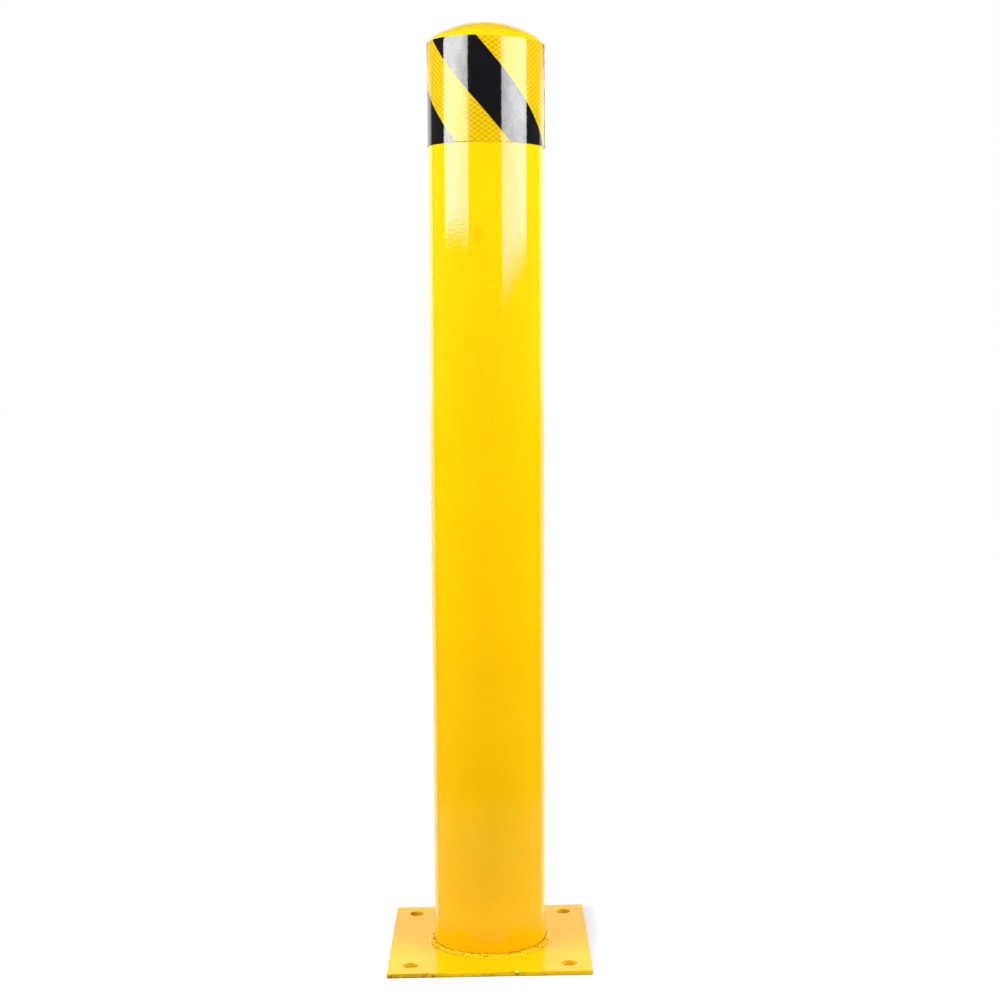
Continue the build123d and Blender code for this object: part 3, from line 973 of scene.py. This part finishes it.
# ---------------------------------------------------------------------------------------------
# Stage: pale floor, white surround behind, dark camera side, two tall softboxes
# ---------------------------------------------------------------------------------------------
def build_floor():
    t = Tree("studio_floor")
    lp = t.node("ShaderNodeLightPath")
    dif = t.node("ShaderNodeBsdfDiffuse")
    x, y, z = t.sep(t.coords())
    # the white sheet is lit around the object and behind it; the rest of the floor is dark, out of view
    dist = t.math("SQRT", t.math("ADD", t.math("MULTIPLY", x, x), t.math("MULTIPLY", y, y)))
    sheet = t.ramp(dist, 0.46, 0.72, 0.25, 0.03)
    rear = t.math("DIVIDE", y, t.math("MAXIMUM", dist, 0.0001))
    sheet = t.math("MAXIMUM", sheet, t.ramp(rear, 0.60, 0.75, 0.03, 0.24))
    shade = t.node("ShaderNodeCombineColor")
    for i in range(3):
        t.link(sheet, shade.inputs[i])
    t.link(shade.outputs[0], dif.inputs["Color"])
    cam_dif = t.node("ShaderNodeBsdfDiffuse")
    level = t.ramp(dist, 0.25, 1.6, 0.88, 1.0)
    # a faint contact shade around the plate, strongest to its rear right
    over_x = t.math("MAXIMUM", t.math("SUBTRACT", t.math("ABSOLUTE", x), 0.1), 0.0)
    over_y = t.math("MAXIMUM", t.math("SUBTRACT", t.math("ABSOLUTE", y), 0.1), 0.0)
    gap = t.math("SQRT", t.math("ADD", t.math("MULTIPLY", over_x, over_x), t.math("MULTIPLY", over_y, over_y)))
    weight = t.math("MULTIPLY", t.ramp(x, 0.02, 0.10, 0.22, 0.41), t.ramp(y, -0.10, 0.04, 0.72, 1.0))
    shade_near = t.math("MULTIPLY", t.ramp(gap, 0.0, 0.030, 1.0, 0.0), weight)
    level = t.math("MULTIPLY", level, t.math("SUBTRACT", 1.0, shade_near))
    # under the plate the floor is darker and glows gold: painted shade and painted bounce light from the painted holes
    cheb = t.math("MAXIMUM", t.math("ABSOLUTE", x), t.math("ABSOLUTE", y))
    open_floor = t.ramp(cheb, 0.0985, 0.1015, 0.0, 1.0)
    t.link(t.mix(open_floor, (0.16, 0.10, 0.02), (0.24, 0.24, 0.245)), cam_dif.inputs["Color"])
    emi = t.node("ShaderNodeEmission")
    t.link(t.mix(open_floor, (0.80, 0.42, 0.02), (1.0, 1.0, 1.0)), emi.inputs["Color"])
    t.link(level, emi.inputs["Strength"])
    # the lit sheet behind, as the finish sees it from the front: cut off at the backdrop's sides
    geo = t.node("ShaderNodeNewGeometry")
    ix, iy, _ = t.sep(geo.outputs["Incoming"])
    flat_len = t.math("SQRT", t.math("ADD", t.math("MULTIPLY", ix, ix), t.math("MULTIPLY", iy, iy)))
    away = t.math("DIVIDE", t.math("MULTIPLY", iy, -1.0), t.math("MAXIMUM", flat_len, 0.0001))
    from_y = t.math("ADD", y, t.math("MULTIPLY", iy, lp.outputs["Ray Length"]))
    lit = t.math("MULTIPLY", t.ramp(away, 0.66, 0.73), t.ramp(from_y, 0.0, 0.006, 1.0, 0.0))
    lit = t.math("MULTIPLY", lit, lp.outputs["Is Glossy Ray"])
    lit = t.math("MULTIPLY", lit, t.ramp(cheb, 0.0985, 0.1015, 0.0, 1.0))
    emi_g = t.node("ShaderNodeEmission")
    t.link(lit, emi_g.inputs["Strength"])
    dif_sum = t.node("ShaderNodeAddShader")
    t.link(dif.outputs[0], dif_sum.inputs[0])
    t.link(emi_g.outputs[0], dif_sum.inputs[1])
    add = t.node("ShaderNodeAddShader")
    t.link(cam_dif.outputs[0], add.inputs[0])
    t.link(emi.outputs[0], add.inputs[1])
    mx = t.node("ShaderNodeMixShader")
    t.link(lp.outputs["Is Camera Ray"], mx.inputs[0])
    t.link(dif_sum.outputs[0], mx.inputs[1])
    t.link(add.outputs[0], mx.inputs[2])
    t.link(mx.outputs[0], t.out.inputs["Surface"])
    n, half = 24, 14.0
    xs = np.linspace(-half, half, n) * 1000
    verts = [(x, y, 0.0) for x in xs for y in xs]
    ob = new_object("studio_floor", verts, grid_faces(n, n), smooth=False, mats=[t.mat])
    return ob


build_floor()

world = bpy.data.worlds.new("studio")
bpy.context.scene.world = world
world.use_nodes = True
wt = world.node_tree
wt.nodes.clear()


def wn(kind, **props):
    n = wt.nodes.new(kind)
    for k, v in props.items():
        setattr(n, k, v)
    return n


w_out = wn("ShaderNodeOutputWorld")
lp = wn("ShaderNodeLightPath")
geo = wn("ShaderNodeNewGeometry")
sepw = wn("ShaderNodeSeparateXYZ")
tc = wn("ShaderNodeTexCoord")
wt.links.new(tc.outputs["Generated"], sepw.inputs[0])


def wmath(op, a, b=None):
    n = wn("ShaderNodeMath", operation=op)
    for i, v in enumerate((a, b)):
        if isinstance(v, bpy.types.NodeSocket):
            wt.links.new(v, n.inputs[i])
        elif v is not None:
            n.inputs[i].default_value = v
    return n.outputs[0]


def wramp(x, lo, hi, a, b):
    n = wn("ShaderNodeMapRange", clamp=True)
    n.interpolation_type = "SMOOTHSTEP"
    wt.links.new(x, n.inputs["Value"])
    for k, v in (("From Min", lo), ("From Max", hi), ("To Min", a), ("To Max", b)):
        n.inputs[k].default_value = v
    return n.outputs["Result"]


# a bright backdrop stands behind the object, up to about 9 degrees, with a dimmer haze above; the camera's side is dark
wx, wy, wz = sepw.outputs
flat_len = wmath("SQRT", wmath("ADD", wmath("MULTIPLY", wx, wx), wmath("MULTIPLY", wy, wy)))
behind = wramp(wmath("DIVIDE", wy, wmath("MAXIMUM", flat_len, 1e-4)), 0.66, 0.73, 0.0, 1.0)
low_sky = wramp(wz, 0.140, 0.166, 1.45, 0.0)
haze = wmath("MULTIPLY", wramp(wz, 0.20, 0.30, 0.14, 0.66), wramp(wz, 0.40, 0.56, 1.0, 0.0))
env = wmath("MULTIPLY", behind, wmath("MAXIMUM", low_sky, haze))
env = wmath("ADD", env, wramp(wy, -0.6, 0.9, 0.03, 0.10))
bg_env = wn("ShaderNodeBackground")
bg_env.inputs["Color"].default_value = (1, 1, 1, 1)
wt.links.new(env, bg_env.inputs["Strength"])
bg_cam = wn("ShaderNodeBackground")
bg_cam.inputs["Color"].default_value = (1, 1, 1, 1)
bg_cam.inputs["Strength"].default_value = 1.02
mixw = wn("ShaderNodeMixShader")
wt.links.new(lp.outputs["Is Camera Ray"], mixw.inputs[0])
wt.links.new(bg_env.outputs[0], mixw.inputs[1])
wt.links.new(bg_cam.outputs[0], mixw.inputs[2])
wt.links.new(mixw.outputs[0], w_out.inputs["Surface"])


def softbox(name, az0, az1, bot0, bot1, top, dist, radiance, profile=(1.0, 1.0), rear_only=False, fade=0.0):
    """A tall flat box whose sides lie at azimuths az0 and az1 (degrees from the camera's side). Its lower edge runs from
    height bot0 at az0 to bot1 at az1; profile is its relative glow from az0 to az1. With rear_only it lights only
    what lies behind the object's middle plane. The glow comes up over the height fade, centred on the lower edge."""
    bot0, bot1 = bot0 - fade / 2, bot1 - fade / 2
    mid = math.radians((az0 + az1) / 2)
    half = math.radians((az1 - az0) / 2)
    w = dist * math.tan(half) * 1000
    c = np.array([dist * math.sin(mid), -dist * math.cos(mid)]) * 1000
    side = np.array([math.cos(mid), math.sin(mid)])     # towards larger azimuth
    n, m = 25, 5
    verts, glow, rise = [], [], []
    for i in range(n):
        f = i / (n - 1)
        p = c + side * w * (2 * f - 1)
        zb = (bot0 + (bot1 - bot0) * f) * 1000
        for j in range(m):
            verts.append((p[0], p[1], zb + (top * 1000 - zb) * j / (m - 1)))
            glow.append(float(np.interp(f, np.linspace(0, 1, len(profile)), profile)))
            rise.append(float((top - zb / 1000) * j / (m - 1)))
    t = Tree(name + "_cloth")
    e = t.node("ShaderNodeEmission")
    strength = t.math("MULTIPLY", t.attr("glow"), radiance)
    if fade > 0:
        strength = t.math("MULTIPLY", strength, t.ramp(t.attr("rise"), 0.0, fade))
    geo = t.node("ShaderNodeNewGeometry")
    if rear_only:
        lp = t.node("ShaderNodeLightPath")
        _, y, z = t.sep(t.coords())
        _, iy, iz = t.sep(geo.outputs["Incoming"])
        from_y = t.math("ADD", y, t.math("MULTIPLY", iy, lp.outputs["Ray Length"]))
        from_z = t.math("ADD", z, t.math("MULTIPLY", iz, lp.outputs["Ray Length"]))
        strength = t.math("MULTIPLY", strength, t.ramp(from_y, 0.004, 0.012))
        strength = t.math("MULTIPLY", strength, t.ramp(from_z, 0.012, 0.03))
    else:
        # a flag keeps it off the skimming reflections on the round pieces' outlines
        lp = t.node("ShaderNodeLightPath")
        x, y, z = t.sep(t.coords())
        ix, iy, iz = t.sep(geo.outputs["Incoming"])
        run = lp.outputs["Ray Length"]
        ox = t.math("ADD", x, t.math("MULTIPLY", ix, run))
        oy = t.math("ADD", y, t.math("MULTIPLY", iy, run))
        oz = t.math("ADD", z, t.math("MULTIPLY", iz, run))

        def length(a, b):
            return t.math("MAXIMUM", t.math("SQRT", t.math("ADD", t.math("MULTIPLY", a, a), t.math("MULTIPLY", b, b))), 1e-5)

        dot = t.math("ADD", t.math("MULTIPLY", ix, ox), t.math("MULTIPLY", iy, oy))
        lean = t.math("DIVIDE", t.math("MULTIPLY", dot, -1.0), t.math("MULTIPLY", length(ix, iy), length(ox, oy)))
        seen = t.math("MAXIMUM", t.ramp(lean, 0.16, 0.42), t.ramp(oz, 0.006, 0.012, 1.0, 0.0))
        # and keeps its mirror image mostly off the flat plate
        flat_cut = t.math("MULTIPLY", lp.outputs["Is Glossy Ray"], t.ramp(oz, 0.0050, 0.0060, 0.85, 0.0))
        seen = t.math("MULTIPLY", seen, t.math("SUBTRACT", 1.0, flat_cut))
        strength = t.math("MULTIPLY", strength, seen)
    t.link(strength, e.inputs["Strength"])
    clear = t.node("ShaderNodeBsdfTransparent")
    front = e
    if rear_only:
        front = t.node("ShaderNodeAddShader")
        t.link(e.outputs[0], front.inputs[0])
        t.link(clear.outputs[0], front.inputs[1])
    mx = t.node("ShaderNodeMixShader")
    t.link(geo.outputs["Backfacing"], mx.inputs[0])
    t.link(front.outputs[0], mx.inputs[1])
    t.link(clear.outputs[0], mx.inputs[2])
    t.link(mx.outputs[0], t.out.inputs["Surface"])
    ob = new_object(name, verts, grid_faces(n, m, flip=True), smooth=False, attrs={"glow": glow, "rise": rise}, mats=[t.mat])
    ob.visible_camera = False
    ob.visible_shadow = False
    return ob


def fill_light(name, azimuth, dist, height, aim, size, energy):
    """Soft light that shows in no reflection."""
    li = bpy.data.lights.new(name, "AREA")
    li.shape = "RECTANGLE"
    li.size, li.size_y = size
    li.energy = energy
    ob = bpy.data.objects.new(name, li)
    bpy.context.scene.collection.objects.link(ob)
    a = math.radians(azimuth)
    ob.location = (dist * math.sin(a), -dist * math.cos(a), height)
    way = Vector(ob.location) - Vector((0.0, 0.0, aim))
    ob.rotation_euler = way.to_track_quat("Z", "Y").to_euler()
    ob.visible_camera = False
    ob.visible_glossy = False
    return ob


softbox("softbox_left", -87.4, -33.8, 0.822, 0.822, 1.62, 1.5, 12.6,
        (0.80, 0.93, 0.98, 1.0, 0.96, 0.88, 0.76, 0.58), fade=0.07)
softbox("softbox_right", 30.8, 85.8, 0.726, 0.806, 1.62, 1.5, 11.6,
        (0.68, 0.80, 0.88, 0.94, 0.98, 1.0, 0.93, 0.78), fade=0.12)
fill_light("left_fill", -60, 1.5, 1.2, 0.5, (1.4, 0.8), 8.8)
fill_light("right_fill", 60, 1.5, 1.2, 0.5, (1.4, 0.8), 8.8)
fill_light("left_wrap", -108, 1.6, 0.75, 0.5, (0.9, 1.1), 3.0)
fill_light("right_wrap", 110, 1.6, 0.75, 0.5, (0.9, 1.1), 1.2)
# a low box straight behind: seen in the finish only from the back and sides
softbox("softbox_back", 164.0, 196.0, 0.55, 0.55, 1.30, 1.6, 6.0, rear_only=True)

fill_light("back_fill", 180, 1.7, 1.7, 0.45, (1.6, 1.0), 26.0)
fill_light("overhead_fill", 0, 0.05, 1.64, 0.9, (0.5, 0.4), 2.0)

# ---------------------------------------------------------------------------------------------
# Camera
# ---------------------------------------------------------------------------------------------
F_PX, PX, PY = 1732.957, 578.205, 503.748
YAW, PITCH, ROLL = 0.04928, 0.09193, 0.00078
CAM = (0.005361, -1.735199, 0.611467)
cd = bpy.data.cameras.new("camera")
cam = bpy.data.objects.new("camera", cd)
bpy.context.scene.collection.objects.link(cam)
cy, sy, cp, sp = math.cos(YAW), math.sin(YAW), math.cos(PITCH), math.sin(PITCH)
fwd = Vector((sy * cp, cy * cp, -sp))
rgt = Vector((cy, -sy, 0.0))
dwn = fwd.cross(rgt)
cr_, sr_ = math.cos(ROLL), math.sin(ROLL)
rgt2 = rgt * cr_ + dwn * sr_
up2 = -(rgt * -sr_ + dwn * cr_)
cam.matrix_world = Matrix((
    (rgt2.x, up2.x, -fwd.x, CAM[0]),
    (rgt2.y, up2.y, -fwd.y, CAM[1]),
    (rgt2.z, up2.z, -fwd.z, CAM[2]),
    (0, 0, 0, 1)))
cd.sensor_width = 36.0
cd.sensor_fit = "HORIZONTAL"
cd.lens = F_PX * 36.0 / 1000.0
cd.shift_x = (500 - PX) / 1000.0
cd.shift_y = (PY - 500) / 1000.0
cd.clip_start, cd.clip_end = 0.05, 60.0
bpy.context.scene.camera = cam

vs = bpy.context.scene.view_settings
vs.view_transform = "Standard"
vs.look = "None"
vs.exposure = 0.0
vs.gamma = 1.0
